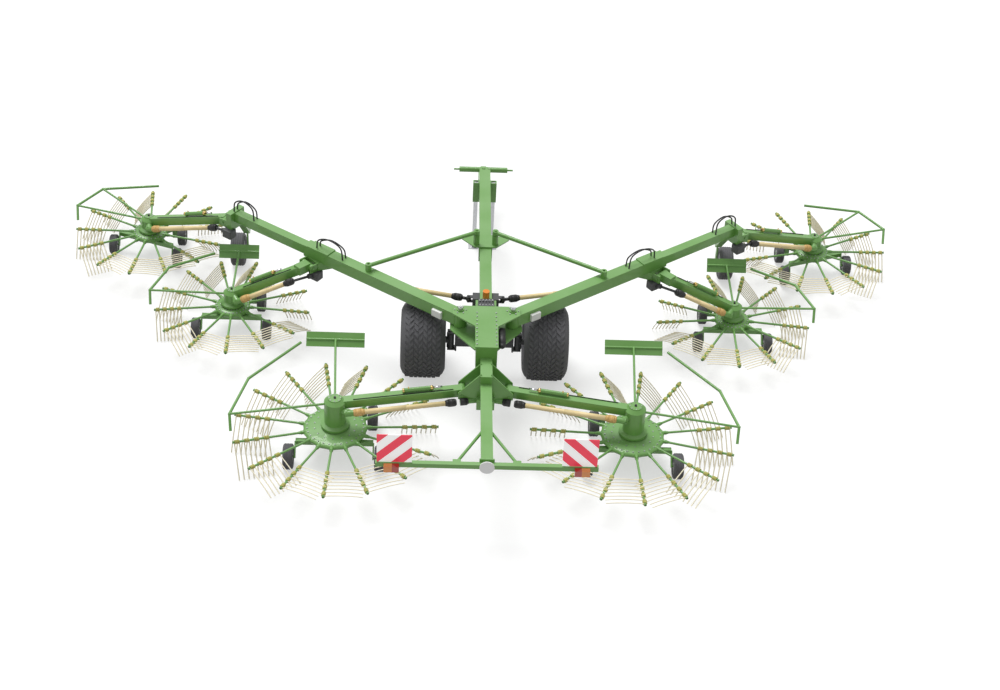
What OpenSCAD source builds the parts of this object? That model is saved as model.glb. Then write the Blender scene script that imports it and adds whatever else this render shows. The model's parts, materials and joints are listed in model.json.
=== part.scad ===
// Rotary rake with six tined rotors, standing unfolded in its working position.
// Millimetres, X to the right, Y forward, Z up. Positions are counted from the middle of the axle.

/* [Main wheels] */
// Diameter of a main tyre, out to the lugs
tyre_d = 1380; // [1200:10:1500]
// Width of a main tyre
tyre_w = 790; // [500:10:820]
// Distance between the middles of the main tyres
track = 2160; // [2000:10:2600]
// Diameter of a main rim
rim_d = 690; // [500:10:800]
// Radius of the stub axle that a main wheel turns on
stub_r = 60; // [40:1:80]
// Distance between the kingpins
kingpin_gap = 1200; // [1000:10:1300]
// Radius of a kingpin
kingpin_r = 35; // [25:1:50]

/* [Frame] */
// Width of the spine
spine_w = 360; // [280:10:440]
// Height of the spine's underside
spine_z = 1230; // [1150:10:1300]
// Height of the upper yoke plate's underside
yoke_top_z = 1740; // [1730:10:1800]
// Height of the lower yoke plate's top
yoke_low_z = 1460; // [1420:10:1470]
// Thickness of the yoke plates
plate_t = 25; // [15:1:40]
// Place of the spine's rear end behind the axle
spine_rear = -1590; // [-1700:10:-1500]
// Place of the spine's front end
spine_front = 60; // [0:10:100]
// Place of the front end of the spine's tall part
box_front = -430; // [-480:10:-380]
// Width and height of the axle beam
axle_s = 170; // [120:10:220]

/* [Rear beam] */
// Width of the beam that carries the lamp bar
rear_beam_w = 200; // [120:10:260]
// Place of the lamp bar behind the axle
lamp_bar_y = -4200; // [-4500:10:-4150]
// Height of the lamp bar
lamp_bar_z = 1450; // [1300:10:1600]
// Half of the lamp bar's length
lamp_bar_half = 1750; // [1500:10:1900]
// Side of a warning board
board_s = 550; // [423:1:600]

/* [Drawbar] */
// Width of the drawbar
drawbar_w = 210; // [140:10:260]
// Height of the drawbar tube
drawbar_h = 260; // [200:10:320]
// Height of the drawbar's middle
drawbar_z = 1400; // [1300:10:1410]
// Place of the straight tube's front end
drawbar_front = 4350; // [4200:10:4600]
// Place of the headstock's swivel
swivel_y = 5300; // [5150:10:5500]
// Height of the headstock
headstock_z = 800; // [600:10:950]
// Radius of the swivel pin
swivel_r = 30; // [20:1:45]
// Radius of a lower link pin
link_r = 18.3; // [14:0.1:22.5]
// Distance between the shoulders of the lower link pins
link_gap = 965; // [825:1:1010]
// Place of the parking jack
jack_y = 3950; // [3900:10:4200]
// Width of a jack leg
jack_w = 80; // [60:5:110]

/* [Booms] */
// Sideways place of a boom's pivot
boom_x = 450; // [430:10:550]
// Lengthwise place of a boom's pivot
boom_y = -560; // [-620:10:-500]
// Height of a boom's middle
boom_z = 1600; // [1550:10:1650]
// Angle of a boom forward of straight out
boom_az = 35.5; // [32:0.5:40]
// Width of a boom tube
boom_w = 210; // [195:5:240]
// Height of a boom tube
boom_h = 230; // [210:5:240]
// Length of a boom tube from its pivot
boom_l = 3400; // [3350:10:3500]
// Width of the outer boom
ext_w = 165; // [140:5:180]
// Height of the outer boom
ext_h = 180; // [150:5:190]
// Distance from the pivot to the outer boom's end
ext_end = 5165; // [5100:5:5300]
// Radius of a boom's pivot pin
boom_pin_r = 40; // [30:1:50]
// Distance from the pivot to the stay's pin
stay_a = 2000; // [1900:10:2050]
// Radius of a stay tube
stay_r = 38; // [25:1:45]
// Place of the fold carriage's pins
carriage_y = 1750; // [1650:10:1780]
// Sideways place of the fold carriage's pins
carriage_x = 170; // [150:5:220]
// Diameter of a boom's support wheel
boom_wheel_d = 640; // [560:10:700]
// Width of a boom's support wheel
boom_wheel_w = 260; // [180:10:280]

/* [Rotor arms] */
// Width and height of a rotor carrier's arm
arm_s = 150; // [130:5:170]
// Distance of the hinges from a boom's middle
hinge_off = 230; // [220:5:260]
// Height of the hinges on the booms
hinge_z = 1430; // [1410:5:1450]
// Sideways place of the rear arms' hinges
rear_hinge_x = 400; // [380:10:440]
// Lengthwise place of the rear arms' hinges
rear_hinge_y = -1900; // [-2000:10:-1800]
// Height of the rear arms' hinges
rear_hinge_z = 1080; // [1040:10:1150]
// Radius of a hinge pin
hinge_r = 30; // [20:1:40]
// Length of a hinge barrel
barrel_l = 260; // [200:10:320]
// Radius of the guard tubes
guard_r = 24; // [15:1:30]
// Height of the guards on the four front rotors
guard_z = 830; // [800:10:870]
// Height of the guards on the two rear rotors
guard_rear_z = 1020; // [960:10:1080]

/* [Rotors] */
// Radius of a tine arm
tine_arm_r = 20; // [15:1:25]
// Radius of a tine wire
tine_r = 5.5; // [4:0.5:7]
// Number of tine legs on an arm
tine_legs = 8; // [6:2:10]
// Tilt of a working tine behind the arm
tilt_work = 40; // [30:1:45]
// Tilt of a lifted tine
tilt_lift = 92; // [80:1:100]
// Half of the turn at the rear in which the tines are lifted
lift_half = 72; // [50:1:90]
// Part of that turn over which the tilt changes
lift_ramp = 36; // [20:1:60]
// Height of the working tine tips above the ground
tip_gap = 20; // [15:1:40]
// Radius of the rotor's stub axle
rotor_stub_r = 45; // [35:1:60]

/* [Fits] */
// Radial clearance of a shaft in its bore
run_gap = 0.08; // [0.05:0.01:0.1]
// Clearance of a tube that slides on another
slide_gap = 0.5; // [0.3:0.1:1]
// Clearance between faces that pass each other
pass_gap = 10; // [6:1:20]

/* [Hidden] */
$fn = 48;
SIDES = [["left", -1], ["right", 1]];
// distance of the middle arms' hinges from a boom's end, and where its bore and the tube in it start
hinge_back = 202;
bore_from = 1200;
ext_from = 1500;
// columns of UNITS
U_NAME = 0;
U_X = 1;
U_Y = 2;
U_ARMS = 3;
U_FIRST = 4;
U_R = 5;
U_PITCH = 6;
U_TINE = 7;
U_DISH = 8;
U_TURRET = 9;
U_TOP = 10;
U_WHEEL_R = 11;
U_WHEEL_W = 12;
U_IN_X = 13;
U_IN_Y = 14;
U_OUT_X = 15;
U_OUT_Y = 16;
U_FRONT_X = 17;
U_FRONT_Y = 18;
U_HINGE_A = 19;
U_HINGE_P = 20;
// name, hub x, hub y, arms, first arm, leg radius, leg pitch, tine, dish, turret, its height above the arms,
// wheel r, wheel w, inner, outer and front wheel x and y, hinge along and beside the boom
UNITS = [
  ["outer", 6400, 3430, 13, -82, 1380, 64, 580, 330, 150, 360,
    190, 150, -560, -450, 700, -50, -560, 300, ext_end + 155, 0],
  ["mid", 4580, 1130, 13, -91, 1380, 64, 580, 330, 150, 360,
    190, 150, -640, -340, 640, -340, -470, 520, boom_l - hinge_back, hinge_off],
  ["rear", 2500, -2280, 15, -87, 1700, 82, 640, 550, 180, 630,
    220, 170, -760, -430, 760, -430, -600, 620, 0, 0],
];
// bows of the guards, counted from the hub
BOW_OUTER = [[-50, 1060, 0], [1010, 890, 0], [1400, 290, 0], [1370, 60, -180]];
BOW_MID = [[430, 1110, 10], [1210, 630, 0], [1460, -90, 0], [1440, -270, -190]];
BOW_REAR = [[690, 1650, 0], [1490, 620, 0], [1710, -320, 0], [1680, -520, -200]];
BOWS = [BOW_OUTER, BOW_MID, BOW_REAR];
// guard boards, counted from the hub: from x, to x, y of the lower edge, lean forward
BOARDS = [[0, 0, 0, 0], [-390, 350, 1080, 38], [-410, 600, 1640, 46]];
board_h = 260;
board_t = 8;

wheel_z = tyre_d / 2;
headstock_front = swivel_y + 200 + 55;
lamp_depth = 90;
brace_x = 470;
y_rear = lamp_bar_y - 50 - lamp_depth;
y_front = headstock_front;
y_shift = -(y_front + y_rear) / 2;
stay_z = yoke_top_z + plate_t + stay_r + 14;
boom_wheel_a = 5600;
boom_wheel_p = -560;
cheek_t = 25;
cheek_h = 150;
head_w = barrel_l + 2 * cheek_t + 60;
head_root = 190;
shaft_r = 45;
// room between a hinge and the drive shaft beside it
shaft_room = 120;
// pivots of the boom shafts at the middle gearbox, and their far ends along the booms
joint_x = 300;
joint_r = 20;
gearbox_y = 270;
gearbox_half = 230;
shaft_a = 2000;
ring_h = 60;
// lift ram on an arm: rod eye, barrel's two ends, counted from the hinge
ram_eye = 330;
ram_from = 500;
ram_to = 1000;
ram_r = 36;
// pins of the middle arms: turn from the boom's line, and length of the neck between pin and arm
pin_turn = 12;
neck_l = 160;

function boom_pt(a, p, z) = [
  boom_x + a * cos(boom_az) + p * sin(boom_az),
  boom_y + a * sin(boom_az) - p * cos(boom_az),
  z
];
function is_rear(u) = u[U_NAME] == "rear";
function is_mid(u) = u[U_NAME] == "mid";
function hub(u, z) = [u[U_X], u[U_Y], z];
function arm_z(u) = tip_gap + u[U_TINE] * cos(tilt_work);
function hinge_pt(u) = is_rear(u)
  ? [rear_hinge_x, rear_hinge_y, rear_hinge_z]
  : boom_pt(u[U_HINGE_A], u[U_HINGE_P], hinge_z);
function hinge_dir(u) = is_mid(u)
  ? [sin(boom_az + pin_turn), -cos(boom_az + pin_turn), 0]
  : flat_dir(u);
function arm_from(u) = is_mid(u) ? hinge_pt(u) + hinge_dir(u) * neck_l : hinge_pt(u);
function flat_dir(u) = let (v = hub(u, 0) - arm_from(u)) [v[0], v[1], 0] / norm([v[0], v[1]]);
function from_rear(az) = let (d = (az + 90 + 720) % 360) d > 180 ? d - 360 : d;
function lift(az) = max(0, min(1, (lift_half - abs(from_rear(az))) / lift_ramp));
function tilt(az) = tilt_work + (tilt_lift - tilt_work) * lift(az);
function turret_top(u) = arm_z(u) + u[U_TOP];
function arm_end(u) = hub(u, turret_top(u) - 100);
function arm_dir(u) = (arm_end(u) - arm_from(u)) / norm(arm_end(u) - arm_from(u));
function arm_up(u) = let (d = arm_dir(u), f = flat_dir(u)) [-d[2] * f[0], -d[2] * f[1], norm([d[0], d[1]])];
function across(v) = [v[1], -v[0], 0] / norm([v[1], -v[0]]);
function shaft_drop(u) = across(arm_dir(u)) * (arm_s / 2 + shaft_r + 70) - [0, 0, 90];
function shaft_end(u) = arm_end(u) + shaft_drop(u) - arm_dir(u) * (u[U_TURRET] + 100);

module machine() {
  translate([0, y_shift, 0]) children();
}

module side(s) {
  if (s[1] < 0) machine() mirror([1, 0, 0]) children();
  else machine() children();
}

module both() {
  children();
  mirror([1, 0, 0]) children();
}

// square bar from one point to another
module beam(a, b, w, h) {
  v = b - a;
  translate(a)
    rotate([0, -asin(v[2] / norm(v)), atan2(v[1], v[0])])
      translate([0, -w / 2, -h / 2])
        cube([norm(v), w, h]);
}

// round bar from one point to another
module rod(a, b, r) {
  v = b - a;
  translate(a)
    rotate([0, acos(v[2] / norm(v)), atan2(v[1], v[0])])
      cylinder(h = norm(v), r = r);
}

// bent tube through a list of points
module bow(points, r) {
  for (i = [0 : len(points) - 2])
    rod(points[i], points[i + 1], r);
  for (i = [1 : len(points) - 2])
    translate(points[i]) sphere(r = r + 3);
}

// shape on a boom: along it from its pivot, across it and up
module on_boom() {
  translate([boom_x, boom_y, 0])
    rotate([0, 0, boom_az])
      children();
}

// flat plate from a list of corners
module plate(corners, z, t) {
  translate([0, 0, z])
    linear_extrude(t)
      polygon(corners);
}

// solid of revolution about a line across the machine, profile in radius and width
module turned_x(profile) {
  rotate([0, 90, 0])
    rotate_extrude()
      polygon(profile);
}

module main_frame() {
  lug = boom_x + 130;
  half = spine_w / 2 + 15;
  rear_out = hinge_pt(UNITS[2]) + shaft_drop(UNITS[2]) + arm_dir(UNITS[2]) * shaft_room / 2;
  upper = [
    [half, spine_rear], [half, boom_y - 440], [lug, boom_y - 110], [lug, boom_y + 100],
    [boom_x - 60, box_front], [-boom_x + 60, box_front],
    [-lug, boom_y + 100], [-lug, boom_y - 110], [-half, boom_y - 440], [-half, spine_rear]
  ];
  lower = [
    [half, boom_y - 700], [lug + 40, boom_y - 140], [lug + 40, boom_y + 130], [half, spine_front - 120],
    [-half, spine_front - 120], [-lug - 40, boom_y + 130], [-lug - 40, boom_y - 140], [-half, boom_y - 700]
  ];
  color("forestgreen") {
    plate(upper, yoke_top_z, plate_t);
    plate(lower, yoke_low_z - plate_t, plate_t);
    // spine: tall behind the booms, low in front as the drawbar's root
    translate([-spine_w / 2, spine_rear, spine_z])
      cube([spine_w, box_front - spine_rear, yoke_top_z + 5 - spine_z]);
    translate([-spine_w / 2, box_front - 20, spine_z])
      cube([spine_w, spine_front + 20 - box_front, drawbar_z + drawbar_h / 2 - spine_z]);
    // pillar down to the axle beam
    translate([-spine_w / 2 + 40, -220, wheel_z + axle_s / 2])
      cube([spine_w - 80, 440 - 170, spine_z + 10 - wheel_z - axle_s / 2]);
    // pivot pins with their heads
    both()
      translate([boom_x, boom_y, yoke_low_z - plate_t - 20]) {
        cylinder(r = boom_pin_r, h = yoke_top_z + 2 * plate_t + 40 - yoke_low_z);
        translate([0, 0, yoke_top_z + 2 * plate_t - yoke_low_z + 20])
          cylinder(r = boom_pin_r + 22, h = 22);
      }
    // cheeks and pins for the rear arms
    both()
      for (y = [rear_hinge_y - barrel_l / 2 - 30, rear_hinge_y + barrel_l / 2 + 5])
        translate([0, y + 25, 0])
          rotate([90, 0, 0])
            linear_extrude(25)
              polygon([[80, rear_hinge_z - 120], [rear_hinge_x - 30, rear_hinge_z - 75],
                [rear_hinge_x + 60, rear_hinge_z - 60], [rear_hinge_x + 60, rear_hinge_z + 60],
                [80, spine_z + 330]]);
    both()
      rod([rear_hinge_x, rear_hinge_y - barrel_l / 2 - 40, rear_hinge_z],
        [rear_hinge_x, rear_hinge_y + barrel_l / 2 + 40, rear_hinge_z], hinge_r);
    // root of the rear beam, between the cheeks
    translate([-rear_beam_w / 2, rear_hinge_y - barrel_l / 2 - 60, rear_hinge_z - 130])
      cube([rear_beam_w, spine_rear + 70 - rear_hinge_y + barrel_l / 2, spine_z + 300 - rear_hinge_z + 130]);
    // rear gearbox under it, with an output in line with each rear drive shaft
    translate([-150, rear_hinge_y - barrel_l / 2 - 160, rear_hinge_z - 180])
      cube([300, 150, 190]);
    both()
      rod(rear_out - arm_dir(UNITS[2]) * 280, rear_out, shaft_r);
    // rear beam up to the lamp bar, with a head plate
    beam([0, rear_hinge_y - barrel_l / 2, spine_z + 60], [0, lamp_bar_y + 42, lamp_bar_z],
      rear_beam_w - 10, 160);
    translate([-rear_beam_w / 2 - 20, lamp_bar_y + 30, lamp_bar_z - 95])
      cube([rear_beam_w + 40, 22, 190]);
    // diagonal braces of the lamp bar, each on a foot
    both() {
      rod([60, lamp_bar_y + 900, lamp_bar_z - 60], [brace_x, lamp_bar_y + 62, lamp_bar_z], 25);
      translate([brace_x - 60, lamp_bar_y + 30, lamp_bar_z - 35])
        cube([130, 60, 70]);
    }
  }
}

module axle_beam() {
  kx = kingpin_gap / 2;
  color("dimgray") {
    translate([-kx + 100, -axle_s / 2, wheel_z - axle_s / 2])
      cube([2 * kx - 200, axle_s, axle_s]);
    both() {
      translate([kx - 110, -axle_s / 2, wheel_z - 190])
        cube([30, axle_s, 380]);
      for (z = [wheel_z - 190, wheel_z + 160])
        translate([kx - 100, -60, z])
          cube([155, 120, 30]);
      translate([kx, 0, wheel_z - 210])
        cylinder(r = kingpin_r, h = 420);
    }
  }
}

module knuckle() {
  kx = kingpin_gap / 2;
  color("dimgray")
    difference() {
      union() {
        translate([kx, 0, wheel_z - 150])
          cylinder(r = 66, h = 300);
        rod([kx, 0, wheel_z], [track / 2 + 200, 0, wheel_z], stub_r);
      }
      translate([kx, 0, wheel_z - 200])
        cylinder(r = kingpin_r + run_gap, h = 400);
    }
}

module main_wheel() {
  r = tyre_d / 2;
  w = tyre_w / 2;
  b = rim_d / 2;
  color("dimgray")
    translate([track / 2, 0, wheel_z]) {
      turned_x([
        [b - 5, -w + 75], [b - 5, w - 75], [b + 75, w - 10], [b + 215, w], [r - 50, w - 15],
        [r - 5, w - 65], [r, w - 145], [r, -w + 145], [r - 5, -w + 65], [r - 50, -w + 15],
        [b + 215, -w], [b + 75, -w + 10]
      ]);
      turned_x([
        [b - 27, -w + 60], [b, -w + 60], [b, w - 60], [b - 27, w - 60], [b - 27, 150],
        [150, 130], [150, 180], [stub_r + run_gap, 180], [stub_r + run_gap, 0], [150, 0],
        [150, 110], [b - 27, 130]
      ]);
    }
}

module drawbar() {
  neck_y = 5000;
  color("forestgreen") {
    translate([-drawbar_w / 2, spine_front, drawbar_z - drawbar_h / 2])
      cube([drawbar_w, drawbar_front - spine_front, drawbar_h]);
    beam([0, drawbar_front - 120, drawbar_z - 20], [0, neck_y, headstock_z], drawbar_w - 10, drawbar_h - 30);
    translate([-drawbar_w / 2, neck_y - 80, headstock_z - 150])
      cube([drawbar_w, swivel_y - 140 - neck_y + 80, 300]);
    for (z = [headstock_z - 145, headstock_z + 115])
      translate([-80, swivel_y - 150, z])
        cube([160, 230, 30]);
    translate([0, swivel_y, headstock_z - 170])
      cylinder(r = swivel_r, h = 340);
    // sleeves of the jack, open at both ends
    both()
      difference() {
        translate([drawbar_w / 2 - 5, jack_y - jack_w / 2 - 15, drawbar_z - 330])
          cube([jack_w + 45, jack_w + 30, 430]);
        translate([drawbar_w / 2 + 20 - slide_gap, jack_y - jack_w / 2 - slide_gap, drawbar_z - 340])
          cube([jack_w + 2 * slide_gap, jack_w + 2 * slide_gap, 460]);
      }
  }
}

module headstock() {
  y = swivel_y + 200;
  color("forestgreen") {
    difference() {
      union() {
        translate([0, swivel_y, headstock_z - 105])
          cylinder(r = 66, h = 210);
        translate([-50, swivel_y + 20, headstock_z - 70])
          cube([100, 200, 140]);
      }
      translate([0, swivel_y, headstock_z - 200])
        cylinder(r = swivel_r + run_gap, h = 400);
    }
    rod([-link_gap / 2, y, headstock_z], [link_gap / 2, y, headstock_z], 55);
    rod([-link_gap / 2 - 110, y, headstock_z], [link_gap / 2 + 110, y, headstock_z], link_r);
  }
}

module jack() {
  x = drawbar_w / 2 + 20;
  color("gray") {
    both() {
      translate([x, jack_y - jack_w / 2, 10])
        cube([jack_w, jack_w, drawbar_z + 70]);
      translate([x + jack_w / 2 - 110, jack_y - 110, 0])
        cube([220, 220, 16]);
    }
    translate([-x - 10, jack_y - 25, 300])
      cube([2 * x + 20, 50, 50]);
  }
}

module main_drive() {
  low = drawbar_z - drawbar_h / 2;
  line_z = low - 130;
  line_end = drawbar_front - 300;
  color("dimgray") {
    // middle gearbox under the drawbar, with a leg up each side of it
    translate([-gearbox_half, gearbox_y - 100, line_z - 70])
      cube([2 * gearbox_half, 200, low - line_z + 70]);
    both() {
      translate([drawbar_w / 2, gearbox_y - 100, low - 10])
        cube([gearbox_half - drawbar_w / 2, 200, drawbar_z + 65 - low + 10]);
      // fork and pin of a boom shaft
      for (z = [drawbar_z - 56, drawbar_z + 38])
        translate([gearbox_half - 10, gearbox_y - 35, z])
          cube([joint_x + 40 - gearbox_half, 70, 18]);
      translate([joint_x, gearbox_y, drawbar_z - 70])
        cylinder(r = joint_r, h = 140);
    }
    // line shaft under the drawbar, with a bearing block and the input stub in front
    rod([0, gearbox_y + 90, line_z], [0, line_end - 10, line_z], shaft_r);
    translate([-70, line_end - 120, line_z - 70])
      cube([140, 120, low - line_z + 70]);
    rod([0, line_end - 20, line_z], [0, line_end + 90, line_z], 17.5);
  }
}

module lamp_bar() {
  color("forestgreen") {
    translate([-lamp_bar_half, lamp_bar_y - 50, lamp_bar_z - 40])
      cube([2 * lamp_bar_half, 80, 80]);
    both()
      for (x = [lamp_bar_half - 560, lamp_bar_half - 60])
        translate([x, lamp_bar_y - 20, lamp_bar_z + 30])
          cube([30, 20, board_s + 10]);
  }
}

module warning_boards() {
  color("tomato")
    both()
      translate([lamp_bar_half - board_s - 25, lamp_bar_y - 30, lamp_bar_z + 50])
        cube([board_s, 10, board_s]);
}

module lamps() {
  color("orangered") {
    both()
      translate([lamp_bar_half - 376, lamp_bar_y - 50 - lamp_depth, lamp_bar_z - 75])
        cube([240, lamp_depth, 110]);
    // round blank sign in the middle
    rod([0, lamp_bar_y - 66, lamp_bar_z], [0, lamp_bar_y - 50, lamp_bar_z], 120);
    // beacon on the drawbar's root
    translate([0, spine_front + 65, drawbar_z + drawbar_h / 2])
      cylinder(r = 60, h = 150);
  }
}

module fold_carriage() {
  w = drawbar_w / 2 + slide_gap;
  low = drawbar_z - drawbar_h / 2 - slide_gap;
  top = drawbar_z + drawbar_h / 2 + slide_gap;
  t = 16;
  color("forestgreen") {
    difference() {
      translate([-w - t, carriage_y - 110, low - t])
        cube([2 * w + 2 * t, 400, top - low + 2 * t]);
      translate([-w, carriage_y - 150, low])
        cube([2 * w, 500, top - low]);
    }
    // wings
    plate([[-120, carriage_y + 290], [-430, carriage_y + 200], [-430, carriage_y + 150],
      [-200, carriage_y - 100], [200, carriage_y - 100], [430, carriage_y + 150],
      [430, carriage_y + 200], [120, carriage_y + 290]], top + t - 2, 20);
    both() {
      translate([carriage_x, carriage_y, top + t])
        cylinder(r = 55, h = stay_z - 40 - pass_gap - top - t);
      translate([carriage_x, carriage_y, top + t])
        cylinder(r = 25, h = stay_z + 60 - top - t);
    }
  }
}

// two cheeks with a pin for a rotor's arm, each back to its own root
module hinge_bracket(u, roots) {
  h = hinge_pt(u);
  d = hinge_dir(u);
  k = across(d);
  off = barrel_l / 2 + 5 + cheek_t / 2;
  for (e = [-1, 1])
    beam(h + k * (e * off) - d * roots[(e + 1) / 2], h + k * (e * off) + d * 65, cheek_t, cheek_h);
  rod(h - k * (off + cheek_t), h + k * (off + cheek_t), hinge_r);
}

module boom() {
  u = UNITS[1];
  h = hinge_pt(u);
  d = hinge_dir(u);
  k = across(d);
  off = barrel_l / 2 + 5 + cheek_t + 12;
  low = hinge_z - cheek_h / 2 - 8;
  // block under the tube that carries the cheeks
  block = [
    boom_pt(u[U_HINGE_A] - 330, -40, 0), boom_pt(u[U_HINGE_A] + 185, -40, 0),
    h - k * off - d * 100, h + k * off - d * 100
  ];
  color("forestgreen") {
    hinge_bracket(u, [150, 150]);
    plate([for (p = block) [p[0], p[1]]], low, boom_z - boom_h / 2 + 15 - low);
    on_boom() {
      difference() {
        union() {
          translate([0, -boom_w / 2, boom_z - boom_h / 2])
            cube([boom_l, boom_w, boom_h]);
          translate([0, 0, yoke_low_z + 5])
            cylinder(r = 120, h = yoke_top_z - yoke_low_z - 10);
        }
        translate([0, 0, yoke_low_z - 20])
          cylinder(r = boom_pin_r + run_gap, h = 400);
        translate([bore_from, -ext_w / 2 - slide_gap, boom_z - ext_h / 2 - slide_gap])
          cube([boom_l, ext_w + 2 * slide_gap, ext_h + 2 * slide_gap]);
      }
      // roof plate over the bracket
      translate([UNITS[1][U_HINGE_A] - 360, -boom_w / 2 - 10, boom_z + boom_h / 2 - 5])
        cube([460, boom_w + 20, 25]);
      // post under the stay's eye
      translate([stay_a, 0, boom_z + boom_h / 2 - 10])
        cylinder(r = 55, h = stay_z - 43 - boom_z - boom_h / 2 + 10);
    }
  }
}

module outer_boom() {
  wheel = boom_pt(boom_wheel_a, boom_wheel_p, boom_wheel_d / 2);
  fork_z = boom_wheel_d + 120;
  color("forestgreen") {
    on_boom() {
      translate([ext_from, -ext_w / 2, boom_z - ext_h / 2])
        cube([ext_end - ext_from, ext_w, ext_h]);
      // head block that carries the hinge
      translate([ext_end - 110, -head_w / 2, hinge_z - cheek_h / 2])
        cube([120, head_w, boom_z + ext_h / 2 + 20 - hinge_z + cheek_h / 2]);
    }
    hinge_bracket(UNITS[0], [head_root, head_root]);
    // arm down to the support wheel, with its fork leg
    beam(boom_pt(ext_end - 60, -120, hinge_z), [wheel[0] - boom_wheel_w / 2 - 55, wheel[1], fork_z], 120, 120);
    translate([wheel[0] - boom_wheel_w / 2 - 70, wheel[1] - 50, boom_wheel_d / 2 - 60])
      cube([30, 100, fork_z + 120 - boom_wheel_d / 2]);
    rod([wheel[0] - boom_wheel_w / 2 - 60, wheel[1], boom_wheel_d / 2],
      [wheel[0] + boom_wheel_w / 2, wheel[1], boom_wheel_d / 2], 22);
  }
}

// small wheel with a tyre, about a line across the machine
module small_wheel(r, w, bore) {
  h = w / 2;
  color("dimgray")
    turned_x([
      [bore, -h + 8], [r * 0.3, -h + 8], [r * 0.36, -h + 30], [r * 0.52, -h + 30], [r * 0.6, -h + 6],
      [r * 0.85, -h], [r * 0.96, -h + 14], [r, -h + 36], [r, h - 36], [r * 0.96, h - 14], [r * 0.85, h],
      [r * 0.6, h - 6], [r * 0.52, h - 30], [r * 0.36, h - 30], [r * 0.3, h - 8], [bore, h - 8]
    ]);
}

module boom_wheel() {
  translate(boom_pt(boom_wheel_a, boom_wheel_p, boom_wheel_d / 2))
    small_wheel(boom_wheel_d / 2, boom_wheel_w, 22 + run_gap);
}

// drive shaft with a guard cone at each end
module drive_shaft(a, b) {
  v = (b - a) / norm(b - a);
  color("wheat") {
    rod(a, b, shaft_r);
    rod(a, a + 190 * v, shaft_r + 22);
    rod(b - 190 * v, b, shaft_r + 22);
  }
}

// drive shaft from the middle gearbox out under a boom, with an upright eye at the gearbox
module boom_shaft() {
  a = [joint_x, gearbox_y, drawbar_z];
  b = boom_pt(shaft_a, 5 - boom_w / 2, drawbar_z);
  v = (b - a) / norm(b - a);
  drive_shaft(a + 115 * v, b);
  color("dimgray")
    difference() {
      union() {
        translate(a - [0, 0, 35])
          cylinder(r = 45, h = 70);
        rod(a + 25 * v, a + 130 * v, 30);
      }
      translate(a - [0, 0, 50])
        cylinder(r = joint_r + run_gap, h = 100);
    }
}

module stay() {
  a = [carriage_x, carriage_y, stay_z];
  b = boom_pt(stay_a, 0, stay_z);
  v = (b - a) / norm(b - a);
  color("forestgreen")
    difference() {
      union() {
        rod(a + 40 * v, b - 30 * v, stay_r);
        for (p = [a, b])
          translate([p[0], p[1], stay_z - 40])
            cylinder(r = 55, h = 80);
      }
      for (p = [a, b])
        translate([p[0], p[1], stay_z - 50])
          cylinder(r = 25 + run_gap, h = 100);
    }
}

module carrier(i) {
  u = UNITS[i];
  h = hinge_pt(u);
  top = turret_top(u);
  za = arm_z(u);
  axis = is_rear(u) ? [0, 1, 0] : across(hinge_dir(u));
  bed = za - ring_h - pass_gap - 45;
  color("forestgreen") {
    // arm with its hinge barrel
    difference() {
      union() {
        rod(h - axis * (barrel_l / 2), h + axis * (barrel_l / 2), 62);
        if (is_mid(u)) beam(h, h + hinge_dir(u) * (neck_l + 90), arm_s + 10, arm_s + 10);
        beam(arm_from(u), arm_end(u), arm_s, arm_s);
      }
      rod(h - axis * barrel_l, h + axis * barrel_l, hinge_r + run_gap);
    }
    lift_ram(u);
    // snout of the gearbox that takes the drive shaft
    rod(shaft_end(u), shaft_end(u) + arm_dir(u) * 150, 52);
    rod(shaft_end(u) + arm_dir(u) * 95, [u[U_X], u[U_Y], shaft_end(u)[2]], 60);
    // gearbox turret and the fixed stub axle under it
    translate(hub(u, 0)) {
      rotate_extrude()
        polygon([
          [0, bed - 55], [rotor_stub_r + 60, bed - 55], [rotor_stub_r + 60, za - ring_h - pass_gap],
          [rotor_stub_r, za - ring_h - pass_gap], [rotor_stub_r, za + ring_h + pass_gap],
          [u[U_TURRET] + 60, za + ring_h + pass_gap], [u[U_TURRET] + 60, za + ring_h + 50],
          [u[U_TURRET], za + ring_h + 80], [u[U_TURRET], top - 50], [u[U_TURRET] - 60, top], [0, top]
        ]);
      undercarriage(u, bed);
      guard(i);
    }
  }
}

// lift ram on top of an arm, its rod's eye free of the bracket
module lift_ram(u) {
  line = arm_from(u) + arm_up(u) * (arm_s / 2 + ram_r + 14);
  d = arm_dir(u);
  rod(line + d * ram_eye, line + d * (ram_from + 10), ram_r / 2);
  rod(line + d * ram_from, line + d * ram_to, ram_r);
  for (t = [ram_from + 30, ram_to - 30])
    rod(line + d * t - arm_up(u) * (ram_r + 30), line + d * t, 26);
}

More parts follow.
